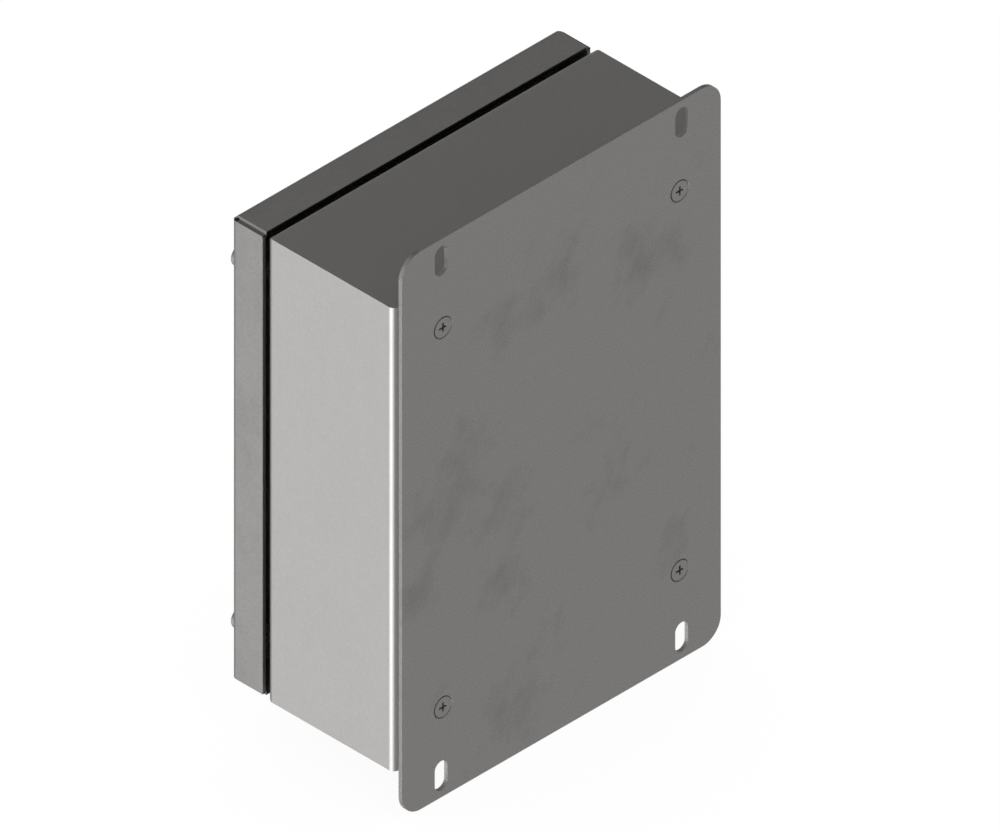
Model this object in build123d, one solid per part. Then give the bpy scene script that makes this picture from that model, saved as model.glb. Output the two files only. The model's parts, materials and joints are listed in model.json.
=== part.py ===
from build123d import *
import math
import os

# A stainless steel pushbutton station: folded body, screwed-on cover, wall plate,
# and five operators in 22 mm holes. All sizes are millimetres.
# The origin is the centre of the wall plate's rear face. The wall is on the +Y side,
# the operators face -Y, +X is the right-hand side of a person facing them, +Z is up.

# Enclosure
enclosure_width = 203.5
enclosure_height = 249.0
body_depth = 78.9
cover_depth = 19.7
cover_gap = 2.7
sheet = 2.0
bend_radius = 3.2

# Collar that is folded forward from the body's return, and the gasket in front of it
collar_inset = 15.0
collar_corner_radius = 7.0
gasket_width = 6.0
gasket_thickness = 3.5

# Open corners of the cover
side_flange_end_gap = 1.45
top_flange_end_gap = 2.3
corner_slit = 0.3
relief_hole_radius = 1.0
relief_hole_depth = 2.4

# Cover screws, M6 cheese heads on sealing washers, with press nuts in the body's return
cover_screw_side_inset = 9.3
cover_screw_end_inset = 27.1
cover_screw_radius = 3.0
cover_screw_length = 31.0
cover_screw_head_radius = 5.55
cover_screw_head_height = 3.3
cover_screw_head_round = 0.6
cover_screw_recess = 6.0
cover_washer_radius = 5.3
cover_washer_thickness = 0.8
cover_nut_radius = 4.4
cover_nut_height = 4.0

# Wall plate and its screws, M6 countersunk with a short cylindrical rim
plate_width = 197.9
plate_height = 300.0
plate_thickness = 2.2
plate_corner_radius = 11.6
slot_width = 8.0
slot_length = 15.7
slot_spacing_x = 149.3
slot_end_inset = 11.65
plate_screw_spacing_x = 147.0
plate_screw_spacing_z = 204.0
plate_screw_radius = 3.0
plate_screw_head_radius = 5.0
plate_screw_head_rim = 0.75
plate_screw_length = 12.0
plate_screw_recess = 5.0
plate_nut_radius = 5.5
plate_nut_height = 4.0

# Cross recess of both kinds of screw
recess_blade = 1.1
recess_depth = 1.9
recess_taper = 0.5

# Earth stud on the back wall, M6
earth_x = -45.0
earth_from_bottom = 24.4
earth_stud_radius = 3.0
earth_stud_length = 16.0
earth_washer_radius = 6.0
earth_washer_thickness = 1.2
earth_nut_across_flats = 10.0
earth_nut_height = 5.0

# Cable gland in the bottom wall, M20
gland_from_wall = 42.0
gland_thread_radius = 9.9
gland_thread_reach = 11.0
gland_hex_across_flats = 24.0
gland_hex_height = 5.0
gland_bore_radius = 7.2
gland_collar_radius = 9.0
gland_collar_height = 9.0
gland_locknut_height = 4.0
gland_seal_thickness = 1.5
gland_seal_radius = 12.0
gland_insert_height = 8.0
gland_nut_wall = 2.2
gland_nut_across_flats = 22.5
gland_nut_corner_radius = 12.4
gland_nut_height = 14.0
gland_mouth_radius = 6.0
cable_radius = 5.0

# Fits
thread_clearance = 0.05
hole_clearance = 0.25
running_clearance = 0.3

# Operators, common sizes. Their own axis points out of the cover
panel_hole_radius = 11.15
barrel_radius = 10.9
barrel_bore_radius = 9.0
barrel_reach = 15.0
barrel_web = 2.0
bezel_radius = 14.75
bezel_height = 10.0
bezel_floor = 1.2
bezel_edge_round = 1.0
seal_radius = 14.2
seal_thickness = 0.8
panel_nut_across_flats = 27.0
panel_nut_height = 3.5
holder_width = 28.0
holder_height = 38.0
holder_front = 3.0
holder_wall = 1.6
block_width = 17.0
block_depth = 21.5
block_wall = 1.6
cavity_height = 26.0
stem_radius = 3.0

# Buttons
cap_radius = 11.9
cap_thickness = 3.6
cap_edge_round = 0.8
cap_dish_depth = 0.5
cap_dish_radius = 9.5
button_travel = 4.5
stop_cap_rise = 3.5
hub_radius = 5.0
hub_reach = 9.0

# Coil springs
wire_radius = 0.45
spring_radius = 7.2
spring_turns = 4.5

# Contact sets
plunger_size = 5.0
plunger_head_size = 8.0
plunger_head_thickness = 1.5
plunger_length = 15.5
bridge_length = 18.0
bridge_width = 3.0
bridge_thickness = 0.8
contact_strip_width = 4.0
contact_strip_thickness = 0.8
contact_strip_inner = 5.5
contact_strip_outer = 17.8
contact_gap_left = 0.1
terminal_offset = 15.6
terminal_head_radius = 2.5
terminal_head_height = 1.8
terminal_sink = 0.4
terminal_screw_radius = 1.4
plunger_end_room = 0.7

# Emergency stop
estop_travel = 6.0
estop_bezel_height = 9.0
estop_head_radius = 20.0
estop_head_rim = 5.0
estop_head_crown = 6.0
estop_head_top = 37.0
estop_hub_radius = 8.6
estop_hub_foot = 5.0
estop_pin_radius = 5.0
estop_pin_depth = 18.0
estop_flange_radius = 8.2
estop_flange_thickness = 2.0

# Selector
selector_bezel_height = 7.0
selector_neck_radius = 7.3
selector_step = 1.0
selector_base_radius = 13.6
selector_base_height = 4.0
selector_grip_length = 27.0
selector_grip_width = 8.0
selector_grip_height = 12.0
selector_grip_taper = 4.0
selector_flange_thickness = 4.0
selector_turn = 90.0
selector_travel = 3.0
cam_hub_height = 3.0
cam_inner_radius = 2.5
cam_outer_radius = 8.0
cam_follower_radius = 5.5
cam_follower_width = 3.0
cam_follower_depth = 4.0
cam_steps = 6

# Pilot light
lens_wall = 1.5
lens_dome_height = 4.0
lamp_post_radius = 4.0
lamp_post_height = 10.0
lamp_radius = 2.5
lamp_height = 7.0

# Operator places on the cover
column_offset = 40.0
upper_row = 66.0
middle_row = 0.0
lower_row = -66.0

# Planes across the depth, measured from the wall
plate_front = -plate_thickness
body_back = plate_front
body_front = body_back - body_depth
cover_rear = body_front - cover_gap
cover_front = cover_rear - cover_depth
cover_inside = cover_front + sheet
collar_front = cover_inside + gasket_thickness
return_rear = body_front + sheet
half_width = enclosure_width / 2
half_height = enclosure_height / 2
slot_spacing_z = plate_height - 2 * slot_end_inset
earth_z = earth_from_bottom - half_height
inner_bend_radius = bend_radius - sheet

# Planes along an operator's axis, measured out from the cover's front face
bezel_seat = seal_thickness
bezel_top = bezel_seat + bezel_height
bezel_floor_top = bezel_seat + bezel_floor
panel_back = -sheet
nut_back = panel_back - panel_nut_height
web_front = -barrel_reach + barrel_web
barrel_end = -barrel_reach
plunger_top = barrel_end - running_clearance
plunger_foot = plunger_top - plunger_length
longest_travel = max(button_travel, estop_travel, selector_travel)
block_front = plunger_top - plunger_head_thickness - longest_travel - plunger_end_room
block_back = block_front - block_depth
cap_foot = bezel_top - cap_thickness
cap_bore_radius = cap_radius + running_clearance


def corners(spacing_x, spacing_z):
    """The four corners of a rectangle that is centred on the origin."""
    return [
        (side * spacing_x / 2, end * spacing_z / 2)
        for side in (-1, 1)
        for end in (-1, 1)
    ]


def block(x_low, x_high, y_low, y_high, z_low, z_high):
    """A box between two corners."""
    size = (x_high - x_low, y_high - y_low, z_high - z_low)
    middle = ((x_high + x_low) / 2, (y_high + y_low) / 2, (z_high + z_low) / 2)
    return Pos(*middle) * Box(*size)


def rod(radius, low, high):
    """A round bar along the local Z axis."""
    length = high - low
    return Pos(0, 0, low) * Cylinder(
        radius, length, align=(Align.CENTER, Align.CENTER, Align.MIN)
    )


def tube(outer, inner, low, high):
    """A round sleeve along the local Z axis."""
    return rod(outer, low, high) - rod(inner, low - 1, high + 1)


def hexagon(across_flats, low, high):
    """A hexagonal bar along the local Z axis."""
    outline = RegularPolygon(across_flats / 2, 6, major_radius=False)
    return extrude(Plane.XY.offset(low) * outline, high - low)


def turned(*points):
    """A solid turned about the local Z axis from (radius, height) points."""
    outline = make_face(Polyline(*[(r, 0, h) for r, h in points], close=True))
    return revolve(outline, Axis.Z)


def group(pieces):
    """Several separate pieces under one name."""
    return Compound([solid for piece in pieces for solid in piece.solids()])


def facing_front(x, z):
    """Local frame on the cover's front face, its Z axis pointing out at the user."""
    return Plane(origin=(x, cover_front, z), x_dir=(1, 0, 0), z_dir=(0, -1, 0))


def facing_wall(x, z, y=0.0):
    """Local frame whose Z axis points at the wall."""
    return Plane(origin=(x, y, z), x_dir=(-1, 0, 0), z_dir=(0, 1, 0))


def facing_down():
    """Local frame under the bottom wall, its Z axis pointing down."""
    return Plane(origin=(0, -gland_from_wall, -half_height), x_dir=(1, 0, 0), z_dir=(0, 0, -1))


def rounded_frame(inset, radius, y_low, y_high):
    """A rounded rectangle at a distance inside the enclosure's sides, run along Y."""
    outline = RectangleRounded(
        enclosure_width - 2 * inset, enclosure_height - 2 * inset, radius
    )
    return extrude(facing_wall(0, 0, y_low) * outline, y_high - y_low)


# Enclosure


def folded_tub(inset, front, back, rear_radius, front_radius):
    """Outer or inner surface of the body: rear uprights and front edges are bends."""
    width = enclosure_width - 2 * inset
    height = enclosure_height - 2 * inset
    plan = Pos(0, (front + back) / 2) * Rectangle(width, back - front)
    rear_corners = plan.vertices().group_by(Axis.Y)[-1]
    plan = fillet(rear_corners, rear_radius)
    solid = extrude(Plane.XY.offset(-height / 2) * plan, height)
    front_edges = solid.faces().sort_by(Axis.Y)[0].edges()
    return fillet(front_edges, front_radius)


def make_body_shell():
    shell = folded_tub(0, body_front, body_back, bend_radius, bend_radius)
    shell -= folded_tub(sheet, return_rear, body_back - sheet, inner_bend_radius, inner_bend_radius)
    inner_inset = collar_inset + sheet
    inner_corner = collar_corner_radius - sheet
    shell -= rounded_frame(inner_inset, inner_corner, body_front - 1, return_rear + 1)
    collar = rounded_frame(collar_inset, collar_corner_radius, collar_front, return_rear)
    collar -= rounded_frame(inner_inset, inner_corner, collar_front - 1, return_rear + 1)
    shell += collar
    shell = fold_collar(shell)
    for x, z in corners(plate_screw_spacing_x, plate_screw_spacing_z):
        hole = rod(countersink_radius(plate_thickness) + hole_clearance, -sheet - 1, 1)
        shell -= facing_wall(x, z, body_back) * hole
    for x, z in cover_screw_places():
        hole = rod(cover_screw_radius + hole_clearance, -sheet - 1, 1)
        shell -= facing_front(x, z) * Pos(0, 0, cover_front - body_front) * hole
    shell -= facing_down() * rod(gland_thread_radius + hole_clearance, -sheet - 1, 1)
    return shell


def fold_collar(shell):
    """Round both faces of the sheet where the return turns forward into the collar."""
    front_line = edges_on_ring(shell, body_front, collar_inset)
    shell = fillet(front_line, inner_bend_radius)
    rear_line = edges_on_ring(shell, return_rear, collar_inset + sheet)
    return fillet(rear_line, bend_radius)


def edges_on_ring(shell, y, inset):
    """Edges in the plane y that lie on a rounded rectangle with the given inset."""
    near = 0.01
    found = []
    for edge in shell.edges():
        box = edge.bounding_box()
        in_plane = abs(box.min.Y - y) < near and abs(box.max.Y - y) < near
        middle = edge @ 0.5
        from_side = half_width - abs(middle.X)
        from_end = half_height - abs(middle.Z)
        inside = min(from_side, from_end)
        reach = collar_corner_radius * (1 - math.sqrt(0.5)) + near
        if in_plane and inset - near < inside < inset + reach:
            found.append(edge)
    return found


def cover_screw_places():
    """Centres of the cover screws on the cover's face."""
    return corners(
        enclosure_width - 2 * cover_screw_side_inset,
        enclosure_height - 2 * cover_screw_end_inset,
    )


def operator_places():
    """Name and place of each operator on the cover."""
    return {
        "light": (-column_offset, upper_row),
        "selector": (column_offset, upper_row),
        "start": (-column_offset, middle_row),
        "stop": (column_offset, middle_row),
        "estop": (0.0, lower_row),
    }


def make_front_cover():
    pan = bent_pan(0, cover_front, bend_radius)
    pan -= bent_pan(sheet, cover_inside, inner_bend_radius, 1)
    for side in (-1, 1):
        for end in (-1, 1):
            pan -= corner_opening(side, end)
    for x, z in cover_screw_places():
        hole = rod(cover_screw_radius + hole_clearance, -sheet - 1, 1)
        pan -= facing_front(x, z) * hole
    for x, z in operator_places().values():
        pan -= facing_front(x, z) * rod(panel_hole_radius, -sheet - 1, 1)
    return pan


def bent_pan(inset, front, radius, past=0.0):
    """Outer or inner surface of the cover, with its four front edges bent."""
    solid = block(
        inset - half_width,
        half_width - inset,
        front,
        cover_rear + past,
        inset - half_height,
        half_height - inset,
    )
    front_edges = solid.faces().sort_by(Axis.Y)[0].edges()
    return fillet(front_edges, radius)


def corner_opening(side, end):
    """What is missing at one corner of the cover: flange ends, slit and relief hole."""
    past = 1.0
    notch = block(
        half_width - top_flange_end_gap,
        half_width + past,
        cover_front - past,
        cover_rear + past,
        half_height - side_flange_end_gap,
        half_height + past,
    )
    slit = block(
        half_width - top_flange_end_gap,
        half_width - top_flange_end_gap + corner_slit,
        cover_front - past,
        cover_rear + past,
        half_height - sheet - corner_slit,
        half_height + past,
    )
    relief_frame = Plane(
        origin=(half_width - sheet, cover_front + relief_hole_depth, half_height - sheet),
        x_dir=(0, 1, 0),
        z_dir=(1, 0, 1),
    )
    relief = relief_frame * rod(relief_hole_radius, -2 * sheet, 2 * sheet)
    opening = notch + slit + relief
    if side < 0:
        opening = mirror(opening, Plane.YZ)
    if end < 0:
        opening = mirror(opening, Plane.XY)
    return opening


def make_cover_gasket():
    outer_inset = collar_inset + sheet / 2 - gasket_width / 2
    inner_inset = outer_inset + gasket_width
    outer_corner = collar_corner_radius + collar_inset - outer_inset
    inner_corner = max(collar_corner_radius + collar_inset - inner_inset, 1.0)
    ring = rounded_frame(outer_inset, outer_corner, cover_inside, collar_front)
    return ring - rounded_frame(inner_inset, inner_corner, cover_inside - 1, collar_front + 1)


def cross_recess(span, top):
    """Two crossed blades, narrower at their foot, in a screw head with its face at top."""
    half = span / 2
    blade = recess_blade / 2
    low = top - recess_depth
    foot = half - recess_taper * recess_depth
    blades = block(-half, half, -blade, blade, low, top + 1)
    blades += block(-blade, blade, -half, half, low, top + 1)
    return blades & turned((0, low), (foot, low), (half, top), (half, top + 1), (0, top + 1))


def make_cover_screw():
    foot = cover_washer_thickness
    top = foot + cover_screw_head_height
    head = rod(cover_screw_head_radius, foot, top)
    rim = head.edges().filter_by(GeomType.CIRCLE).sort_by(Axis.Z)[-1]
    head = fillet(rim, cover_screw_head_round)
    shank = rod(cover_screw_radius, foot - cover_screw_length, foot)
    return head + shank - cross_recess(cover_screw_recess, top)


def make_cover_washer():
    inner = cover_screw_radius + thread_clearance
    return tube(cover_washer_radius, inner, 0, cover_washer_thickness)


def make_cover_nut():
    top = cover_front - return_rear
    inner = cover_screw_radius + thread_clearance
    return tube(cover_nut_radius, inner, top - cover_nut_height, top)


def countersink_radius(depth):
    """Radius of the countersink at a depth below the plate's rear face."""
    at_face = plate_screw_head_radius + plate_screw_head_rim + thread_clearance
    return max(at_face - depth, plate_screw_radius)


def make_mounting_plate():
    outline = RectangleRounded(plate_width, plate_height, plate_corner_radius)
    plate = extrude(facing_wall(0, 0, plate_front) * outline, plate_thickness)
    slot = SlotOverall(slot_length, slot_width, rotation=90)
    for x, z in corners(slot_spacing_x, slot_spacing_z):
        plate -= extrude(facing_wall(x, z, plate_front - 1) * slot, plate_thickness + 2)
    for x, z in corners(plate_screw_spacing_x, plate_screw_spacing_z):
        plate -= facing_wall(x, z) * screw_seat()
    return plate


def screw_seat():
    """Countersunk hole through the plate, as wide as the cone that the rim's foot meets."""
    past = 1.0
    wide = countersink_radius(0)
    foot = countersink_radius(plate_thickness)
    low = -plate_thickness
    return turned(
        (0, past), (wide, past), (wide, 0), (foot, low), (foot, low - past), (0, low - past)
    )


def make_plate_screw():
    cone_foot = -plate_screw_head_rim - (plate_screw_head_radius - plate_screw_radius)
    body = turned(
        (0, 0),
        (plate_screw_head_radius, 0),
        (plate_screw_head_radius, -plate_screw_head_rim),
        (plate_screw_radius, cone_foot),
        (plate_screw_radius, -plate_screw_length),
        (0, -plate_screw_length),
    )
    return body - cross_recess(plate_screw_recess, 0)


def make_plate_nut():
    top = body_back - sheet
    inner = plate_screw_radius + thread_clearance
    return tube(plate_nut_radius, inner, top - plate_nut_height, top)


def earth_frame():
    """Local frame on the inside of the back wall, its Z axis pointing at the cover."""
    return Plane(origin=(earth_x, body_back - sheet, earth_z), x_dir=(1, 0, 0), z_dir=(0, -1, 0))


def make_earth_stud():
    return rod(earth_stud_radius, 0, earth_stud_length)


def make_earth_washer():
    return tube(earth_washer_radius, earth_stud_radius + hole_clearance, 0, earth_washer_thickness)


def make_earth_nut():
    low = earth_washer_thickness
    high = low + earth_nut_height
    nut = hexagon(earth_nut_across_flats, low, high)
    return nut - rod(earth_stud_radius + thread_clearance, low - 1, high + 1)


# Cable gland. Heights run down from the underside of the bottom wall


def make_gland_face_seal():
    inner = gland_thread_radius + hole_clearance
    return tube(gland_seal_radius, inner, 0, gland_seal_thickness)


def make_gland_body():
    hex_top = gland_seal_thickness
    hex_foot = hex_top + gland_hex_height
    body = hexagon(gland_hex_across_flats, hex_top, hex_foot)
    body += rod(gland_thread_radius, -gland_thread_reach, hex_top)
    body += rod(gland_collar_radius, hex_foot, hex_foot + gland_collar_height)
    past = 1.0
    bore = rod(gland_bore_radius, -gland_thread_reach - past, hex_foot + gland_collar_height + past)
    return body - bore


def make_gland_locknut():
    low = -sheet - gland_locknut_height
    nut = hexagon(gland_hex_across_flats, low, -sheet)
    return nut - rod(gland_thread_radius + thread_clearance, low - 1, -sheet + 1)


def gland_collar_foot():
    """Height of the collar's mouth below the bottom wall."""
    return gland_seal_thickness + gland_hex_height + gland_collar_height


def make_gland_insert():
    foot = gland_collar_foot()
    outer = gland_bore_radius - thread_clearance
    return tube(outer, cable_radius, foot - gland_insert_height, foot)


def make_gland_dome_nut():
    top = gland_seal_thickness + gland_hex_height + running_clearance
    foot = top + gland_nut_height
    outer = gland_nut_corner_radius
    shoulder = foot - gland_nut_wall - 1
    nut = turned(
        (0, top), (outer, top), (outer, shoulder), (gland_mouth_radius + 1, foot), (0, foot)
    )
    nut &= hexagon(gland_nut_across_flats, top - 1, foot + 1)
    nut -= rod(gland_collar_radius + thread_clearance, top - 1, gland_collar_foot())
    return nut - rod(gland_mouth_radius, top, foot + 1)


# Pieces that all operators share


def make_panel_seal():
    return tube(seal_radius, panel_hole_radius, 0, seal_thickness)


def make_panel_nut():
    nut = hexagon(panel_nut_across_flats, nut_back, panel_back)
    return nut - rod(barrel_radius + thread_clearance, nut_back - 1, panel_back + 1)


def make_bezel(height, top_bore, floor, web_hole):
    """Ring on the cover and threaded barrel through it, with a web at the inner end."""
    top = bezel_seat + height
    ring = rod(bezel_radius, bezel_seat, top)
    rim = ring.edges().filter_by(GeomType.CIRCLE).sort_by(Axis.Z)[-1]
    ring = fillet(rim, bezel_edge_round)
    bezel = ring + rod(barrel_radius, barrel_end, bezel_seat)
    bezel -= rod(top_bore, floor, top + 1)
    bezel -= rod(barrel_bore_radius, web_front, floor)
    return bezel - rod(web_hole, barrel_end - 1, web_front)


def make_holder():
    """Frame that clips on the barrel and carries the block."""
    half_x = holder_width / 2
    half_y = holder_height / 2
    holder = block(-half_x, half_x, -half_y, half_y, block_front, nut_back)
    inside_x = half_x - holder_wall
    inside_y = half_y - holder_wall
    room_top = nut_back - holder_front
    holder -= block(-inside_x, inside_x, -inside_y, inside_y, block_front - 1, room_top)
    return holder - rod(barrel_radius + thread_clearance, room_top - 1, nut_back + 1)


def strip_top(normally_closed, travel):
    """Height of the fixed contacts' front faces."""
    if normally_closed:
        return plunger_foot + contact_strip_thickness
    return plunger_foot - bridge_thickness - travel - contact_gap_left


def terminal_seat():
    """Height at which a terminal screw's head sits, inside the block's rear face."""
    return block_back + terminal_sink + terminal_head_height


def contact_strips(top):
    """The two fixed contacts of a block, one each side of the plunger."""
    half = contact_strip_width / 2
    low = top - contact_strip_thickness
    return [
        block(-half, half, contact_strip_inner, contact_strip_outer, low, top),
        block(-half, half, -contact_strip_outer, -contact_strip_inner, low, top),
    ]


def terminal_screws(reach):
    """Two terminal screws, heads at the rear, ends on the fixed contacts."""
    head_low = terminal_seat() - terminal_head_height
    screw = rod(terminal_head_radius, head_low, terminal_seat())
    screw += rod(terminal_screw_radius, terminal_seat(), reach)
    return [Pos(0, side * terminal_offset, 0) * screw for side in (-1, 1)]


def block_outline():
    """The outer box of a contact block or lamp block."""
    half_x = block_width / 2
    half_y = holder_height / 2
    return block(-half_x, half_x, -half_y, half_y, block_back, block_front)


def terminal_holes(reach):
    """Stepped holes for the two terminal screws."""
    wide = terminal_head_radius + hole_clearance
    narrow = terminal_screw_radius + thread_clearance
    hole = rod(wide, block_back - 1, terminal_seat()) + rod(narrow, terminal_seat(), reach)
    return [Pos(0, side * terminal_offset, 0) * hole for side in (-1, 1)]


def make_contact_block(top):
    """Housing round the contact plunger, open for it at the front."""
    housing = block_outline()
    half_x = block_width / 2 - block_wall
    half_y = cavity_height / 2
    low = block_back + block_wall
    high = block_front - block_wall
    housing -= block(-half_x, half_x, -half_y, half_y, low, high)
    hole = plunger_size / 2 + running_clearance
    housing -= block(-hole, hole, -hole, hole, high - 1, block_front + 1)
    strip_back = top - contact_strip_thickness
    for cut in contact_strips(top) + terminal_holes(strip_back):
        housing -= cut
    return housing


def make_contact_plunger():
    """Square plunger whose wide head stays behind the barrel's web."""
    half = plunger_size / 2
    head = plunger_head_size / 2
    head_foot = plunger_top - plunger_head_thickness
    plunger = block(-head, head, -head, head, head_foot, plunger_top)
    return plunger + block(-half, half, -half, half, plunger_foot, head_foot)


def make_bridge():
    """Moving contact across the plunger's foot."""
    half_x = bridge_width / 2
    half_y = bridge_length / 2
    return block(-half_x, half_x, -half_y, half_y, plunger_foot - bridge_thickness, plunger_foot)


def make_spring(low, high):
    """Coil spring between two seats."""
    foot = low + wire_radius
    height = high - low - 2 * wire_radius
    line = Pos(0, 0, foot) * Helix(height / spring_turns, height, spring_radius)
    section = Plane(origin=line @ 0, z_dir=line % 0) * RegularPolygon(wire_radius, 6)
    return sweep(section, line, is_frenet=True)


# Start and stop buttons


def make_cap(rise):
    """Button cap with a shallow dish in its face."""
    top = bezel_top + rise
    cap = rod(cap_radius, cap_foot, top)
    rim = cap.edges().filter_by(GeomType.CIRCLE).sort_by(Axis.Z)[-1]
    cap = fillet(rim, cap_edge_round)
    ball_radius = (cap_dish_radius**2 + cap_dish_depth**2) / (2 * cap_dish_depth)
    return cap - Pos(0, 0, top + ball_radius - cap_dish_depth) * Sphere(ball_radius)


def make_button_stem():
    """Stem from the cap through the barrel's web to the contact plunger."""
    stem = rod(hub_radius, cap_foot - hub_reach, cap_foot)
    return stem + rod(stem_radius, plunger_top, cap_foot - hub_reach)


# Emergency stop


def make_estop_head():
    """Mushroom head, domed above its rim, with a hub that turns on the stem."""
    rim_top = estop_head_top - estop_head_crown
    rim_foot = rim_top - estop_head_rim
    crown = estop_head_crown
    ball_radius = (estop_head_radius**2 + crown**2) / (2 * crown)
    head = rod(estop_head_radius, rim_foot, estop_head_top)
    head &= Pos(0, 0, estop_head_top - ball_radius) * Sphere(ball_radius)
    circles = head.edges().filter_by(GeomType.CIRCLE)
    head = fillet(circles.sort_by(Axis.Z)[0], 1.2)
    head += rod(estop_hub_radius, estop_hub_foot, rim_foot)
    bore = estop_pin_radius + running_clearance
    return head - rod(bore, estop_hub_foot - 1, estop_hub_foot + estop_pin_depth)


def make_estop_stem():
    flange_top = estop_hub_foot - running_clearance
    flange_foot = flange_top - estop_flange_thickness
    pin_top = estop_hub_foot + estop_pin_depth - running_clearance
    stem = rod(estop_pin_radius, flange_top, pin_top)
    stem += rod(estop_flange_radius, flange_foot, flange_top)
    return stem + rod(stem_radius, plunger_top, flange_foot)


# Selector

knob_foot = bezel_seat + selector_bezel_height + running_clearance
cam_flange_top = selector_step - running_clearance
cam_flange_foot = cam_flange_top - selector_flange_thickness
cam_rest_height = cam_flange_foot - cam_hub_height
follower_half_angle = math.degrees(math.atan(cam_follower_width / 2 / cam_follower_radius))
cam_slope = selector_travel / selector_turn
follower_top = cam_rest_height - cam_slope * follower_half_angle - running_clearance


def make_selector_bezel():
    """Bezel whose narrow neck keeps the shaft's flange in."""
    neck = selector_neck_radius
    return make_bezel(selector_bezel_height, neck, selector_step, barrel_bore_radius)


def make_selector_knob():
    """Round base with a raised grip across it, narrower at its top."""
    top = knob_foot + selector_base_height
    base = rod(selector_base_radius, knob_foot, top)
    rim = base.edges().filter_by(GeomType.CIRCLE).sort_by(Axis.Z)[-1]
    base = fillet(rim, cap_edge_round)
    length = selector_grip_length
    width = selector_grip_width
    foot_outline = Plane.XY.offset(top) * RectangleRounded(width, length, width / 2 - 0.5)
    crest_width = width - selector_grip_taper / 2
    crest_length = length - selector_grip_taper
    crest_outline = RectangleRounded(crest_width, crest_length, crest_width / 2 - 0.5)
    grip = loft([foot_outline, Plane.XY.offset(top + selector_grip_height) * crest_outline])
    return base + grip


def make_selector_shaft():
    """Shaft under the knob with a flange below the neck and a helical face cam."""
    shaft = rod(selector_neck_radius - running_clearance, cam_flange_top, knob_foot)
    shaft += rod(barrel_bore_radius - running_clearance, cam_flange_foot, cam_flange_top)
    return shaft + cam_ramp()


def cam_ramp():
    """Ramp that falls by selector_travel over selector_turn, as lofted radial sections."""
    first = -follower_half_angle - 2
    last = selector_turn + follower_half_angle + 2
    width = cam_outer_radius - cam_inner_radius
    middle = cam_inner_radius + width / 2
    sections = []
    for step in range(cam_steps + 1):
        angle = first + (last - first) * step / cam_steps
        depth = cam_hub_height + cam_slope * angle
        outline = Pos(middle, cam_flange_foot - depth / 2) * Rectangle(width, depth)
        sections.append(Plane.XZ.rotated((0, 0, angle)) * outline)
    return loft(sections, ruled=True)


def make_selector_follower():
    """Contact plunger with a narrow tip that rides under the cam."""
    half_x = cam_follower_depth / 2
    half_y = cam_follower_width / 2
    tip = block(-half_x, half_x, -half_y, half_y, plunger_top, follower_top)
    return make_contact_plunger() + tip


# Pilot light


def make_lens():
    """Hollow lens with a domed front."""
    top = bezel_top + lens_dome_height
    ball_radius = (cap_radius**2 + lens_dome_height**2) / (2 * lens_dome_height)
    lens = rod(cap_radius, bezel_floor_top, top)
    lens &= Pos(0, 0, top - ball_radius) * Sphere(ball_radius)
    return lens - rod(cap_radius - lens_wall, bezel_floor_top - 1, bezel_top - lens_wall)


def make_lamp_block():
    body = block_outline() + rod(lamp_post_radius, block_front, block_front + lamp_post_height)
    reach = block_front - block_wall
    for cut in terminal_holes(reach):
        body -= cut
    return body


def make_lamp():
    foot = block_front + lamp_post_height
    stem = rod(lamp_radius, foot, foot + lamp_height - lamp_radius)
    return stem + Pos(0, 0, foot + lamp_height - lamp_radius) * Sphere(lamp_radius)


def build_enclosure():
    """Nodes of the body, plate, cover, earth stud and gland."""
    cover_places = [facing_front(x, z) for x, z in cover_screw_places()]
    plate_places = [
        facing_wall(x, z) for x, z in corners(plate_screw_spacing_x, plate_screw_spacing_z)
    ]
    earth = earth_frame()
    gland = facing_down()
    return {
        "body_shell": make_body_shell(),
        "front_cover": make_front_cover(),
        "cover_gasket": make_cover_gasket(),
        "cover_screws": group([place * make_cover_screw() for place in cover_places]),
        "cover_washers": group([place * make_cover_washer() for place in cover_places]),
        "cover_press_nuts": group([place * make_cover_nut() for place in cover_places]),
        "mounting_plate": make_mounting_plate(),
        "plate_screws": group([place * make_plate_screw() for place in plate_places]),
        "plate_press_nuts": group([place * make_plate_nut() for place in plate_places]),
        "earth_stud": earth * make_earth_stud(),
        "earth_washer": earth * make_earth_washer(),
        "earth_nut": earth * make_earth_nut(),
        "gland_face_seal": gland * make_gland_face_seal(),
        "gland_body": gland * make_gland_body(),
        "gland_locknut": gland * make_gland_locknut(),
        "gland_insert": gland * make_gland_insert(),
        "gland_dome_nut": gland * make_gland_dome_nut(),
    }


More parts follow.
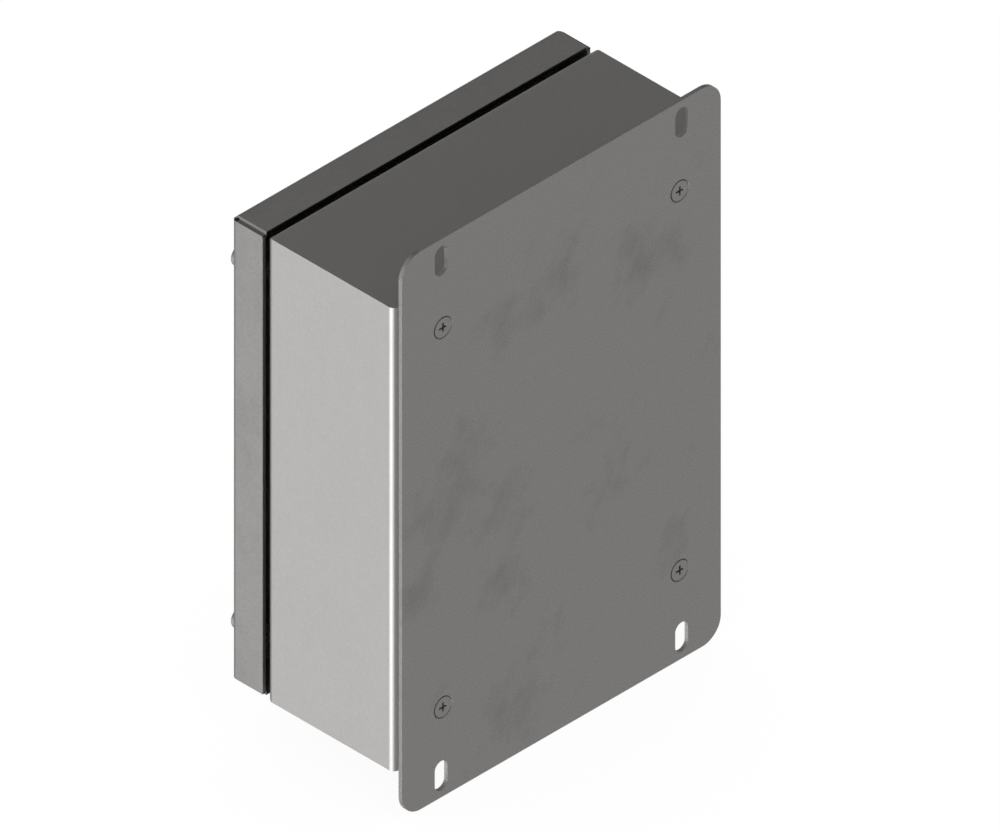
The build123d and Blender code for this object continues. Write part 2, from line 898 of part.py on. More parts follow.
def build_operators():
    """Nodes of the five operators and of what they share."""
    web_hole = stem_radius + running_clearance
    button_bezel = make_bezel(bezel_height, cap_bore_radius, bezel_floor_top, web_hole)
    light_bezel = make_bezel(
        bezel_height, cap_bore_radius, bezel_floor_top, lamp_post_radius + running_clearance
    )
    estop_bezel = make_bezel(estop_bezel_height, barrel_bore_radius, bezel_seat, web_hole)
    closed = strip_top(True, 0)
    start_strip = strip_top(False, button_travel)
    selector_strip = strip_top(False, selector_travel)
    estop_flange_foot = estop_hub_foot - running_clearance - estop_flange_thickness
    button_spring = make_spring(web_front, cap_foot)
    aside = Pos(cam_follower_radius, 0, 0)
    pieces = {
        "light": {
            "bezel": light_bezel,
            "lens": make_lens(),
            "holder": make_holder(),
            "lamp_block": make_lamp_block(),
            "lamp": make_lamp(),
        },
        "selector": {
            "bezel": make_selector_bezel(),
            "knob": make_selector_knob(),
            "shaft": make_selector_shaft(),
            "holder": make_holder(),
            "contact_block": aside * make_contact_block(selector_strip),
            "follower": aside * make_selector_follower(),
            "bridge": aside * make_bridge(),
        },
        "start": {
            "bezel": button_bezel,
            "cap": make_cap(0),
            "stem": make_button_stem(),
            "spring": button_spring,
            "holder": make_holder(),
            "contact_block": make_contact_block(start_strip),
            "contact_plunger": make_contact_plunger(),
            "bridge": make_bridge(),
        },
        "stop": {
            "bezel": button_bezel,
            "cap": make_cap(stop_cap_rise),
            "stem": make_button_stem(),
            "spring": button_spring,
            "holder": make_holder(),
            "contact_block": make_contact_block(closed),
            "contact_plunger": make_contact_plunger(),
            "bridge": make_bridge(),
        },
        "estop": {
            "bezel": estop_bezel,
            "head": make_estop_head(),
            "stem": make_estop_stem(),
            "spring": make_spring(web_front, estop_flange_foot),
            "holder": make_holder(),
            "contact_block": make_contact_block(closed),
            "contact_plunger": make_contact_plunger(),
            "bridge": make_bridge(),
        },
    }
    strips = {
        "selector": (aside, selector_strip),
        "start": (Pos(0, 0, 0), start_strip),
        "stop": (Pos(0, 0, 0), closed),
        "estop": (Pos(0, 0, 0), closed),
        "light": (Pos(0, 0, 0), block_front - block_wall + contact_strip_thickness),
    }
    nodes = {}
    seals = []
    nuts = []
    contacts = []
    screws = []
    for name, (x, z) in operator_places().items():
        place = facing_front(x, z)
        for piece, solid in pieces[name].items():
            nodes[f"{name}_{piece}"] = place * solid
        seals.append(place * make_panel_seal())
        nuts.append(place * make_panel_nut())
        shift, top = strips[name]
        for screw in terminal_screws(top - contact_strip_thickness):
            screws.append(place * (shift * screw))
        if name != "light":
            for strip in contact_strips(top):
                contacts.append(place * (shift * strip))
    nodes["panel_seals"] = group(seals)
    nodes["panel_nuts"] = group(nuts)
    nodes["fixed_contacts"] = group(contacts)
    nodes["terminal_screws"] = group(screws)
    return nodes


os.makedirs("parts", exist_ok=True)
for node, shape in {**build_enclosure(), **build_operators()}.items():
    export_step(shape, f"parts/{node}.step")
    print(node, len(shape.solids()), round(sum(solid.volume for solid in shape.solids()), 1))
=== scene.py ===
import json
import math

import bpy
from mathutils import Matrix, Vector


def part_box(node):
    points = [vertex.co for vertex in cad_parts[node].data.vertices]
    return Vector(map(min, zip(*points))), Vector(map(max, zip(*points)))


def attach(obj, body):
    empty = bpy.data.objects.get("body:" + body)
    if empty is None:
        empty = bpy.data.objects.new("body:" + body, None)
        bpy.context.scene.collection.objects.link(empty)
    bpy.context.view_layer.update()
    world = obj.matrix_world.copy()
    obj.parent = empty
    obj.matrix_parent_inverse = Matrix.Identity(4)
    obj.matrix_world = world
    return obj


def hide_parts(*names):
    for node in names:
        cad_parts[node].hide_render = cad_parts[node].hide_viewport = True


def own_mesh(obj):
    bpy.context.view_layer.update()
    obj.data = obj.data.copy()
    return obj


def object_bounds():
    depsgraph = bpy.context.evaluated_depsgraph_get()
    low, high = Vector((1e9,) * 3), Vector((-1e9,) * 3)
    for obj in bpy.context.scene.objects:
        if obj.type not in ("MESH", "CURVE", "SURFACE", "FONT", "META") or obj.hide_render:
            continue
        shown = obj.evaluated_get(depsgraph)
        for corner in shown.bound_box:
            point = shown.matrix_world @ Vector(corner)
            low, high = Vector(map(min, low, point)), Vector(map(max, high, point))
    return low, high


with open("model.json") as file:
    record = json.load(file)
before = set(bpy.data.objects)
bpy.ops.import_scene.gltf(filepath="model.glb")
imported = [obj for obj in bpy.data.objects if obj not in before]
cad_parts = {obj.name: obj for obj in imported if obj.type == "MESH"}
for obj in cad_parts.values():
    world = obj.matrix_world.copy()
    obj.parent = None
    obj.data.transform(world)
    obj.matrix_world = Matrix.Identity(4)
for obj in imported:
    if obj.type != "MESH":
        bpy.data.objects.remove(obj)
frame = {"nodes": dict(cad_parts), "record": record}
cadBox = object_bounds()
nodes = frame["nodes"]
print("frame loaded with", len(nodes), "nodes")

# Camera: a parallel view from behind and above, at equal angles to the three axes
photoView = {
    "azimuth": 135.0,
    "elevation": math.degrees(math.asin(1 / math.sqrt(3))),
    "pixelsPerMetre": 2278.0,
    "frameWidth": 1000,
    "frameHeight": 832,
    "originPixel": (561.45, 448.95),  # where the wall face's centre lands in the frame
    "distance": 2.0,
}


def addCamera(view):
    azimuth = math.radians(view["azimuth"])
    elevation = math.radians(view["elevation"])
    back = Vector(
        (
            math.sin(azimuth) * math.cos(elevation),
            -math.cos(azimuth) * math.cos(elevation),
            math.sin(elevation),
        )
    )
    turn = (-back).to_track_quat("-Z", "Y")
    right = turn @ Vector((1, 0, 0))
    up = turn @ Vector((0, 1, 0))
    aside = (view["originPixel"][0] - view["frameWidth"] / 2) / view["pixelsPerMetre"]
    down = (view["originPixel"][1] - view["frameHeight"] / 2) / view["pixelsPerMetre"]
    data = bpy.data.cameras.new("photoCamera")
    data.type = "ORTHO"
    data.ortho_scale = view["frameWidth"] / view["pixelsPerMetre"]
    camera = bpy.data.objects.new("photoCamera", data)
    bpy.context.scene.collection.objects.link(camera)
    camera.location = back * view["distance"] - right * aside + up * down
    camera.rotation_mode = "QUATERNION"
    camera.rotation_quaternion = turn
    bpy.context.scene.camera = camera


addCamera(photoView)
bpy.context.scene.view_settings.view_transform = "Standard"
print("camera placed")


# Small helpers for node trees


def mathNode(tree, operation, first, second=None):
    node = tree.nodes.new("ShaderNodeMath")
    node.operation = operation
    for socket, value in zip(node.inputs, (first, second)):
        if value is None:
            continue
        if isinstance(value, (int, float)):
            socket.default_value = value
        else:
            tree.links.new(value, socket)
    return node.outputs[0]


def rangeNode(tree, value, fromLow, fromHigh, toLow, toHigh, smooth=False):
    node = tree.nodes.new("ShaderNodeMapRange")
    if smooth:
        node.interpolation_type = "SMOOTHSTEP"
    tree.links.new(value, node.inputs["Value"])
    names = ("From Min", "From Max", "To Min", "To Max")
    for name, bound in zip(names, (fromLow, fromHigh, toLow, toHigh)):
        if isinstance(bound, (int, float)):
            node.inputs[name].default_value = bound
        else:
            tree.links.new(bound, node.inputs[name])
    return node.outputs["Result"]


def vectorNode(tree, operation, first, second=None):
    node = tree.nodes.new("ShaderNodeVectorMath")
    node.operation = operation
    for socket, value in zip(node.inputs, (first, second)):
        if value is None:
            continue
        if isinstance(value, (tuple, Vector)):
            socket.default_value = value
        else:
            tree.links.new(value, socket)
    givesNumber = operation in ("LENGTH", "DISTANCE", "DOT_PRODUCT")
    return node.outputs["Value" if givesNumber else "Vector"]


def objectPoint(tree):
    return tree.nodes.new("ShaderNodeTexCoord").outputs["Object"]


def separated(tree, vector):
    node = tree.nodes.new("ShaderNodeSeparateXYZ")
    tree.links.new(vector, node.inputs[0])
    return node.outputs


def noiseAt(tree, vector, scale, detail, roughness=0.5, distortion=0.0):
    noise = tree.nodes.new("ShaderNodeTexNoise")
    noise.inputs["Detail"].default_value = detail
    noise.inputs["Roughness"].default_value = roughness
    noise.inputs["Distortion"].default_value = distortion
    tree.links.new(vector, noise.inputs["Vector"])
    tree.links.new(scale, noise.inputs["Scale"])
    return noise.outputs["Fac"]


def newGroup(name, inputs, outputs):
    tree = bpy.data.node_groups.new(name, "ShaderNodeTree")
    for label, kind, value in inputs:
        socket = tree.interface.new_socket(label, in_out="INPUT", socket_type=kind)
        socket.default_value = value
    for label in outputs:
        tree.interface.new_socket(label, in_out="OUTPUT", socket_type="NodeSocketFloat")
    return tree, tree.nodes.new("NodeGroupInput"), tree.nodes.new("NodeGroupOutput")


def placeGroup(tree, group, **values):
    node = tree.nodes.new("ShaderNodeGroup")
    node.node_tree = group
    for name, value in values.items():
        if isinstance(value, bpy.types.NodeSocket):
            tree.links.new(value, node.inputs[name])
        else:
            node.inputs[name].default_value = value
    return node.outputs


def newMaterial(name):
    material = bpy.data.materials.new(name)
    material.use_nodes = True
    tree = material.node_tree
    return material, tree, tree.nodes["Principled BSDF"]


def tinted(tree, colour, factor):
    # colour times a factor that varies over the surface
    node = tree.nodes.new("ShaderNodeMix")
    node.data_type = "RGBA"
    node.blend_type = "MULTIPLY"
    node.inputs["Factor"].default_value = 1.0
    node.inputs["A"].default_value = (*colour, 1.0)
    tree.links.new(factor, node.inputs["B"])
    return node.outputs["Result"]


def painted(tree, base, colour, mask):
    # a second colour over the first where the mask is 1
    node = tree.nodes.new("ShaderNodeMix")
    node.data_type = "RGBA"
    tree.links.new(mask, node.inputs["Factor"])
    tree.links.new(base, node.inputs["A"])
    node.inputs["B"].default_value = (*colour, 1.0)
    return node.outputs["Result"]


def bumpFrom(tree, height, strength, distance):
    bump = tree.nodes.new("ShaderNodeBump")
    bump.inputs["Strength"].default_value = strength
    bump.inputs["Distance"].default_value = distance
    tree.links.new(height, bump.inputs["Height"])
    return bump.outputs["Normal"]


def setRoughness(tree, shader, mask, lowest, rise, maskRange=(0.0, 1.0)):
    rough = rangeNode(tree, mask, *maskRange, lowest, lowest + rise)
    tree.links.new(rough, shader.inputs["Roughness"])


# Effects that several materials share

grainForm = {"detail": 3.0, "roughness": 0.65}
cloudForm = {"lean": 57.0, "stretch": 1.7, "detail": 8.0, "roughness": 0.74}
scuffForm = {"distortion": 3.0, "regionShare": 0.35, "regionEdges": (0.56, 0.66)}


def grainGroup():
    # fine speckle of a rolled, blasted or moulded skin
    tree, start, end = newGroup(
        "surfaceGrain",
        (("Scale", "NodeSocketFloat", 1500.0), ("Amount", "NodeSocketFloat", 0.05)),
        ("Tint", "Height"),
    )
    speckle = noiseAt(
        tree,
        objectPoint(tree),
        start.outputs["Scale"],
        grainForm["detail"],
        grainForm["roughness"],
    )
    centred = mathNode(tree, "SUBTRACT", speckle, 0.5)
    swing = mathNode(tree, "MULTIPLY", centred, start.outputs["Amount"])
    tree.links.new(mathNode(tree, "ADD", swing, 1.0), end.inputs["Tint"])
    tree.links.new(speckle, end.inputs["Height"])
    return tree


def cloudGroup():
    # ragged patches where the finish is duller, drawn out aslant
    # there are more of them where Bias is high
    tree, start, end = newGroup(
        "finishClouds",
        (
            ("Scale", "NodeSocketFloat", 40.0),
            ("Edge", "NodeSocketFloat", 0.55),
            ("Softness", "NodeSocketFloat", 0.2),
            ("Bias", "NodeSocketFloat", 0.0),
        ),
        ("Mask",),
    )
    drawn = tree.nodes.new("ShaderNodeMapping")
    drawn.vector_type = "TEXTURE"
    drawn.inputs["Rotation"].default_value = (0.0, math.radians(cloudForm["lean"]), 0.0)
    drawn.inputs["Scale"].default_value = (cloudForm["stretch"], 1.0, 1.0)
    tree.links.new(objectPoint(tree), drawn.inputs["Vector"])
    blotch = noiseAt(
        tree,
        drawn.outputs["Vector"],
        start.outputs["Scale"],
        cloudForm["detail"],
        cloudForm["roughness"],
    )
    level = mathNode(tree, "ADD", blotch, start.outputs["Bias"])
    upper = mathNode(tree, "ADD", start.outputs["Edge"], start.outputs["Softness"])
    mask = rangeNode(tree, level, start.outputs["Edge"], upper, 0.0, 1.0)
    tree.links.new(mask, end.inputs["Mask"])
    return tree


def spotGroup():
    # a round region that fades out towards its radius
    tree, start, end = newGroup(
        "softSpot",
        (
            ("Centre", "NodeSocketVector", (0.0, 0.0, 0.0)),
            ("Radius", "NodeSocketFloat", 0.02),
            ("Level", "NodeSocketFloat", 1.0),
        ),
        ("Mask",),
    )
    away = vectorNode(tree, "DISTANCE", objectPoint(tree), start.outputs["Centre"])
    share = mathNode(tree, "DIVIDE", away, start.outputs["Radius"])
    fade = rangeNode(tree, share, 0.0, 1.0, 1.0, 0.0, smooth=True)
    mask = mathNode(tree, "MULTIPLY", fade, start.outputs["Level"])
    tree.links.new(mask, end.inputs["Mask"])
    return tree


def scuffGroup():
    # thin scratches and handling marks, in places
    tree, start, end = newGroup(
        "handlingScuffs",
        (("Scale", "NodeSocketFloat", 90.0), ("Width", "NodeSocketFloat", 0.02)),
        ("Mask",),
    )
    point = objectPoint(tree)
    line = noiseAt(
        tree, point, start.outputs["Scale"], 1.0, distortion=scuffForm["distortion"]
    )
    away = mathNode(tree, "ABSOLUTE", mathNode(tree, "SUBTRACT", line, 0.5))
    thin = rangeNode(tree, away, 0.0, start.outputs["Width"], 1.0, 0.0)
    regionScale = mathNode(tree, "MULTIPLY", start.outputs["Scale"], scuffForm["regionShare"])
    region = noiseAt(tree, point, regionScale, 1.0)
    where = rangeNode(tree, region, *scuffForm["regionEdges"], 0.0, 1.0)
    tree.links.new(mathNode(tree, "MULTIPLY", thin, where), end.inputs["Mask"])
    return tree


def ringGroup():
    # rings round an axis that runs along Y, as a lathe leaves them
    tree, start, end = newGroup(
        "turnedRings",
        (
            ("Point", "NodeSocketVector", (0.0, 0.0, 0.0)),
            ("Centre", "NodeSocketVector", (0.0, 0.0, 0.0)),
            ("Pitch", "NodeSocketFloat", 0.0004),
        ),
        ("Wave",),
    )
    away = vectorNode(tree, "SUBTRACT", start.outputs["Point"], start.outputs["Centre"])
    flat = vectorNode(tree, "MULTIPLY", away, (1.0, 0.0, 1.0))
    radius = vectorNode(tree, "LENGTH", flat)
    turns = mathNode(tree, "DIVIDE", radius, start.outputs["Pitch"])
    wave = mathNode(tree, "SINE", mathNode(tree, "MULTIPLY", turns, 2 * math.pi))
    tree.links.new(wave, end.inputs["Wave"])
    return tree


surfaceGrain = grainGroup()
finishClouds = cloudGroup()
softSpot = spotGroup()
handlingScuffs = scuffGroup()
turnedRings = ringGroup()


def nodeCentre(name):
    low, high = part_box(name)
    return (low + high) / 2


# Sheet: satin stainless steel with duller patches. A spot is x, z and radius in metres

sheetSkin = {
    "grainScale": 1400.0,
    "reliefStrength": 0.10,
    "reliefDepth": 0.0002,
    "cloudRoughness": 0.03,
    "spotSpread": 1.65,  # a spot fades out at this many times its radius
    "spotLevel": 0.165,
}
bodySteel = {
    "colour": (0.554, 0.542, 0.529),
    "roughness": 0.42,
    "grain": 0.36,
    "cloudScale": 26.0,
    "cloudEdge": 0.46,
    "cloudSoftness": 0.30,
    "cloudLevel": 0.035,
    "spots": (),
}
coverSteel = {
    "colour": (0.427, 0.418, 0.410),
    "roughness": 0.60,
    "grain": 0.46,
    "cloudScale": 34.0,
    "cloudEdge": 0.46,
    "cloudSoftness": 0.26,
    "cloudLevel": 0.09,
    "spots": (),
}
plateSteel = {
    "colour": (0.564, 0.552, 0.541),
    "roughness": 0.60,
    "grain": 0.86,
    "cloudScale": 46.0,
    "cloudEdge": 0.575,
    "cloudSoftness": 0.26,
    "cloudLevel": 0.155,
    "spots": (
        (0.0009, 0.101, 0.024),
        (-0.0028, 0.0883, 0.016),
        (-0.0519, 0.073, 0.024),
        (-0.0686, 0.0737, 0.017),
        (0.0319, 0.0826, 0.018),
        (0.0183, 0.0806, 0.013),
        (0.0754, 0.0103, 0.028),
        (0.0661, 0.0217, 0.021),
        (0.0568, 0.0305, 0.018),
        (0.0381, -0.0148, 0.024),
        (0.0518, -0.0177, 0.018),
        (0.0878, -0.0292, 0.021),
        (-0.0376, -0.0344, 0.021),
        (-0.0239, -0.0394, 0.018),
        (-0.0661, -0.0928, 0.016),
        (0.0257, -0.1157, 0.024),
        (0.0083, -0.0985, 0.018),
        (0.035, -0.0583, 0.015),
    ),
}


# The cover's rear cut edges carry painted shade, dark towards the gap and darkest along the top
# the ends of the top flange are matt, and those of the side flanges carry a little painted shade

paintedCutEdges = {
    "sheet": 0.002,
    "fadeDepth": 0.0011,
    "sideShades": (0.0, 0.45),
    "topShades": (0.66, 0.95),
    "topEndDepth": 0.0023,
    "topEndColour": (0.42, 0.41, 0.40),
    "sideEndDepth": 0.00145,
    "sideEndShade": 0.35,
    "reach": 0.00006,
}


def paintedEdgeShadeMasks(tree, nodeName):
    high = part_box(nodeName)[1]
    x, y, z = separated(tree, objectPoint(tree))
    depthX = mathNode(tree, "SUBTRACT", high.x, mathNode(tree, "ABSOLUTE", x))
    depthZ = mathNode(tree, "SUBTRACT", high.z, mathNode(tree, "ABSOLUTE", z))
    reach = paintedCutEdges["reach"]
    inSide = mathNode(tree, "LESS_THAN", depthX, paintedCutEdges["sheet"] + reach)
    inTop = mathNode(tree, "LESS_THAN", depthZ, paintedCutEdges["sheet"] + reach)

    def paintedFlangeShade(depth, inside, shades):
        return mathNode(
            tree, "MULTIPLY", rangeNode(tree, depth, 0.0, paintedCutEdges["fadeDepth"], *shades), inside
        )

    def atDepth(depth, place, inside):
        away = mathNode(tree, "ABSOLUTE", mathNode(tree, "SUBTRACT", depth, place))
        return mathNode(tree, "MULTIPLY", mathNode(tree, "LESS_THAN", away, reach), inside)

    # painted shade on the rear cut edges, fading in from the outer faces
    side = paintedFlangeShade(depthX, inSide, paintedCutEdges["sideShades"])
    top = paintedFlangeShade(depthZ, inTop, paintedCutEdges["topShades"])
    atRear = mathNode(tree, "GREATER_THAN", y, high.y - reach)
    rear = mathNode(tree, "MULTIPLY", mathNode(tree, "MAXIMUM", side, top), atRear)
    # painted shade on the top ends of the side flanges
    paintedSideEndShade = mathNode(
        tree,
        "MULTIPLY",
        atDepth(depthZ, paintedCutEdges["sideEndDepth"], inSide),
        paintedCutEdges["sideEndShade"],
    )
    topEnd = atDepth(depthX, paintedCutEdges["topEndDepth"], inTop)
    return mathNode(tree, "MAXIMUM", rear, paintedSideEndShade), topEnd


# The plate's cut rim stands across the sheet: painted shade darkens it along its runs, and a
# painted highlight brightens it round the corners
# the bands, in metres from the plate's sides and ends, keep the slots and screw holes out of it

paintedPlateRim = {
    "runShadeFactor": 0.73,
    "cornerHighlightFactor": 1.25,
    "cornerToRun": (0.80, 0.97),
    "rimToFace": (0.3, 0.6),
    "sideBand": 0.016,
    "endBand": 0.0005,
}


def rimShadeAndHighlight(tree, nodeName):
    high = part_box(nodeName)[1]
    x, y, z = separated(tree, objectPoint(tree))
    normal = separated(tree, tree.nodes.new("ShaderNodeTexCoord").outputs["Normal"])
    facingX, facingY, facingZ = (mathNode(tree, "ABSOLUTE", axis) for axis in normal)
    straight = mathNode(tree, "MAXIMUM", facingX, facingZ)
    shades = (1.0 - paintedPlateRim["cornerHighlightFactor"], 1.0 - paintedPlateRim["runShadeFactor"])
    shade = rangeNode(tree, straight, *paintedPlateRim["cornerToRun"], *shades)
    across = rangeNode(tree, facingY, *paintedPlateRim["rimToFace"], 1.0, 0.0)
    sideStart = high.x - paintedPlateRim["sideBand"]
    endStart = high.z - paintedPlateRim["endBand"]
    atSide = mathNode(tree, "GREATER_THAN", mathNode(tree, "ABSOLUTE", x), sideStart)
    atEnd = mathNode(tree, "GREATER_THAN", mathNode(tree, "ABSOLUTE", z), endStart)
    rim = mathNode(tree, "MULTIPLY", across, mathNode(tree, "MAXIMUM", atSide, atEnd))
    return mathNode(tree, "SUBTRACT", 1.0, mathNode(tree, "MULTIPLY", shade, rim))


def rolledSteel(name, finish, shadedEdgesOf=None, rimOf=None):
    material, tree, shader = newMaterial(name)
    grain = placeGroup(
        tree, surfaceGrain, Scale=sheetSkin["grainScale"], Amount=finish["grain"]
    )
    bias = None
    for x, z, radius in finish["spots"]:
        spot = placeGroup(
            tree,
            softSpot,
            Centre=(x, 0.0, z),
            Radius=sheetSkin["spotSpread"] * radius,
            Level=sheetSkin["spotLevel"],
        )
        bias = spot["Mask"] if bias is None else mathNode(tree, "MAXIMUM", bias, spot["Mask"])
    clouds = placeGroup(
        tree,
        finishClouds,
        Scale=finish["cloudScale"],
        Edge=finish["cloudEdge"],
        Softness=finish["cloudSoftness"],
        Bias=0.0 if bias is None else bias,
    )
    dull = mathNode(tree, "MULTIPLY", clouds["Mask"], finish["cloudLevel"])
    factor = mathNode(tree, "SUBTRACT", grain["Tint"], dull)
    # painted shade along the plate's rim runs and a painted highlight round its corners
    if rimOf is not None:
        factor = mathNode(tree, "MULTIPLY", factor, rimShadeAndHighlight(tree, rimOf))
    shader.inputs["Metallic"].default_value = 1.0
    if shadedEdgesOf is None:
        base = tinted(tree, finish["colour"], factor)
    else:
        # painted shade darkens the cover's rear cut edges and side flange ends; the top flange
        # ends turn matt
        shade, matt = paintedEdgeShadeMasks(tree, shadedEdgesOf)
        factor = mathNode(tree, "MULTIPLY", factor, mathNode(tree, "SUBTRACT", 1.0, shade))
        metal = tinted(tree, finish["colour"], factor)
        base = painted(tree, metal, paintedCutEdges["topEndColour"], matt)
        tree.links.new(mathNode(tree, "SUBTRACT", 1.0, matt), shader.inputs["Metallic"])
    tree.links.new(base, shader.inputs["Base Color"])
    setRoughness(tree, shader, clouds["Mask"], finish["roughness"], sheetSkin["cloudRoughness"])
    normal = bumpFrom(
        tree, grain["Height"], sheetSkin["reliefStrength"], sheetSkin["reliefDepth"]
    )
    tree.links.new(normal, shader.inputs["Normal"])
    return material


# Screws: the four of a set lie mirrored about the middle, so one centre serves them all

screwFinish = {
    "colour": (0.500, 0.490, 0.480),
    "roughness": 0.48,
    "roughnessRise": 0.08,
    "grainScale": 2600.0,
    "grain": 0.22,
    "grainRange": (0.3, 0.7),
    "ringPitch": 0.00055,
    "ringStrength": 0.25,
    "ringDepth": 0.00002,
    "headRadius": {"plate_screws": 0.005, "cover_screws": 0.00555},
}


def turnedScrew(name, nodeName):
    finish = screwFinish
    material, tree, shader = newMaterial(name)
    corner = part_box(nodeName)[1]
    headRadius = finish["headRadius"][nodeName]
    centre = (corner.x - headRadius, 0.0, corner.z - headRadius)
    point = vectorNode(tree, "ABSOLUTE", objectPoint(tree))
    rings = placeGroup(
        tree, turnedRings, Point=point, Centre=centre, Pitch=finish["ringPitch"]
    )
    grain = placeGroup(tree, surfaceGrain, Scale=finish["grainScale"], Amount=finish["grain"])
    tree.links.new(tinted(tree, finish["colour"], grain["Tint"]), shader.inputs["Base Color"])
    setRoughness(
        tree,
        shader,
        grain["Height"],
        finish["roughness"],
        finish["roughnessRise"],
        finish["grainRange"],
    )
    normal = bumpFrom(tree, rings["Wave"], finish["ringStrength"], finish["ringDepth"])
    tree.links.new(normal, shader.inputs["Normal"])
    shader.inputs["Metallic"].default_value = 1.0
    return material


# Plain metals: nuts, stud, contacts and springs

metalSkin = {
    "grainScale": 2500.0,
    "cloudScale": 160.0,
    "cloudEdge": 0.48,
    "cloudSoftness": 0.25,
    "cloudLevel": 0.10,
    "cloudRoughness": 0.10,
}
metalFinish = {
    "zincSteel": {"colour": (0.62, 0.62, 0.60), "roughness": 0.34, "grain": 0.16},
    "brassMetal": {"colour": (0.72, 0.52, 0.24), "roughness": 0.32, "grain": 0.16},
    "contactMetal": {"colour": (0.78, 0.62, 0.38), "roughness": 0.26, "grain": 0.10},
    "springSteel": {"colour": (0.45, 0.45, 0.45), "roughness": 0.28, "grain": 0.10},
}


def plainMetal(name):
    finish = metalFinish[name]
    material, tree, shader = newMaterial(name)
    grain = placeGroup(
        tree, surfaceGrain, Scale=metalSkin["grainScale"], Amount=finish["grain"]
    )
    clouds = placeGroup(
        tree,
        finishClouds,
        Scale=metalSkin["cloudScale"],
        Edge=metalSkin["cloudEdge"],
        Softness=metalSkin["cloudSoftness"],
    )
    dull = mathNode(tree, "MULTIPLY", clouds["Mask"], metalSkin["cloudLevel"])
    factor = mathNode(tree, "SUBTRACT", grain["Tint"], dull)
    tree.links.new(tinted(tree, finish["colour"], factor), shader.inputs["Base Color"])
    setRoughness(tree, shader, clouds["Mask"], finish["roughness"], metalSkin["cloudRoughness"])
    shader.inputs["Metallic"].default_value = 1.0
    return material


# Bezels: satin chrome with fine turning rings, one centre each

chromeFinish = {
    "colour": (0.72, 0.72, 0.72),
    "roughness": 0.20,
    "grainScale": 900.0,
    "grain": 0.04,
    "scuffScale": 160.0,
    "scuffWidth": 0.012,
    "scuffRoughness": 0.18,
    "ringPitch": 0.0003,
    "ringStrength": 0.30,
    "ringDepth": 0.000006,
}


def turnedChrome(name, nodeName):
    finish = chromeFinish
    material, tree, shader = newMaterial(name)
    rings = placeGroup(
        tree,
        turnedRings,
        Point=objectPoint(tree),
        Centre=tuple(nodeCentre(nodeName)),
        Pitch=finish["ringPitch"],
    )
    grain = placeGroup(tree, surfaceGrain, Scale=finish["grainScale"], Amount=finish["grain"])
    scuffs = placeGroup(
        tree, handlingScuffs, Scale=finish["scuffScale"], Width=finish["scuffWidth"]
    )
    tree.links.new(tinted(tree, finish["colour"], grain["Tint"]), shader.inputs["Base Color"])
    setRoughness(tree, shader, scuffs["Mask"], finish["roughness"], finish["scuffRoughness"])
    normal = bumpFrom(tree, rings["Wave"], finish["ringStrength"], finish["ringDepth"])
    tree.links.new(normal, shader.inputs["Normal"])
    shader.inputs["Metallic"].default_value = 1.0
    return material


# Plastics and rubber: a moulded skin, with scuffs where hands and tools reach

plasticSkin = {
    "grainScale": 3000.0,
    "grain": 0.12,
    "scuffScale": 120.0,
    "scuffWidth": 0.015,
    "scuffRoughness": 0.12,
    "textureStrength": 0.25,
}
plasticFinish = {
    "sealRubber": {"colour": (0.018, 0.018, 0.018), "roughness": 0.75, "texture": 0.00004},
    "glandPlastic": {"colour": (0.030, 0.030, 0.032), "roughness": 0.50, "texture": 0.00004},
    "blackPlastic": {"colour": (0.022, 0.022, 0.023), "roughness": 0.42, "texture": 0.00003},
    "blockPlastic": {"colour": (0.14, 0.145, 0.15), "roughness": 0.50, "texture": 0.00004},
    "holderPlastic": {"colour": (0.05, 0.05, 0.052), "roughness": 0.52, "texture": 0.00004},
    "lampPlastic": {"colour": (0.75, 0.74, 0.70), "roughness": 0.35, "texture": 0.00001},
    "greenPlastic": {"colour": (0.012, 0.20, 0.055), "roughness": 0.30, "texture": 0.00001},
    "redPlastic": {"colour": (0.50, 0.012, 0.010), "roughness": 0.30, "texture": 0.00001},
    "estopPlastic": {"colour": (0.55, 0.012, 0.010), "roughness": 0.28, "texture": 0.00001},
}


def mouldedPlastic(name):
    finish = plasticFinish[name]
    material, tree, shader = newMaterial(name)
    grain = placeGroup(
        tree, surfaceGrain, Scale=plasticSkin["grainScale"], Amount=plasticSkin["grain"]
    )
    scuffs = placeGroup(
        tree, handlingScuffs, Scale=plasticSkin["scuffScale"], Width=plasticSkin["scuffWidth"]
    )
    base = tinted(tree, finish["colour"], grain["Tint"])
    tree.links.new(base, shader.inputs["Base Color"])
    setRoughness(
        tree, shader, scuffs["Mask"], finish["roughness"], plasticSkin["scuffRoughness"]
    )
    normal = bumpFrom(
        tree, grain["Height"], plasticSkin["textureStrength"], finish["texture"]
    )
    tree.links.new(normal, shader.inputs["Normal"])
    return material, tree, shader, base


# Selector knob: black, with a white line from its middle to its upper end

selectorLine = {
    "colour": (0.80, 0.80, 0.78),
    "halfWidth": 0.0007,
    "start": 0.002,
    "depth": 0.0075,
}


def markedKnob(name, nodeName):
    material, tree, shader, base = mouldedPlastic("blackPlastic")
    material.name = name
    centre = nodeCentre(nodeName)
    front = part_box(nodeName)[0].y
    x, y, z = separated(tree, objectPoint(tree))
    aside = mathNode(tree, "ABSOLUTE", mathNode(tree, "SUBTRACT", x, centre.x))
    onLine = mathNode(tree, "LESS_THAN", aside, selectorLine["halfWidth"])
    above = mathNode(tree, "GREATER_THAN", z, centre.z + selectorLine["start"])
    atFront = mathNode(tree, "LESS_THAN", y, front + selectorLine["depth"])
    mask = mathNode(tree, "MULTIPLY", mathNode(tree, "MULTIPLY", onLine, above), atFront)
    tree.links.new(painted(tree, base, selectorLine["colour"], mask), shader.inputs["Base Color"])
    return material


# Pilot light lens: clear, with moulded rings inside its dome

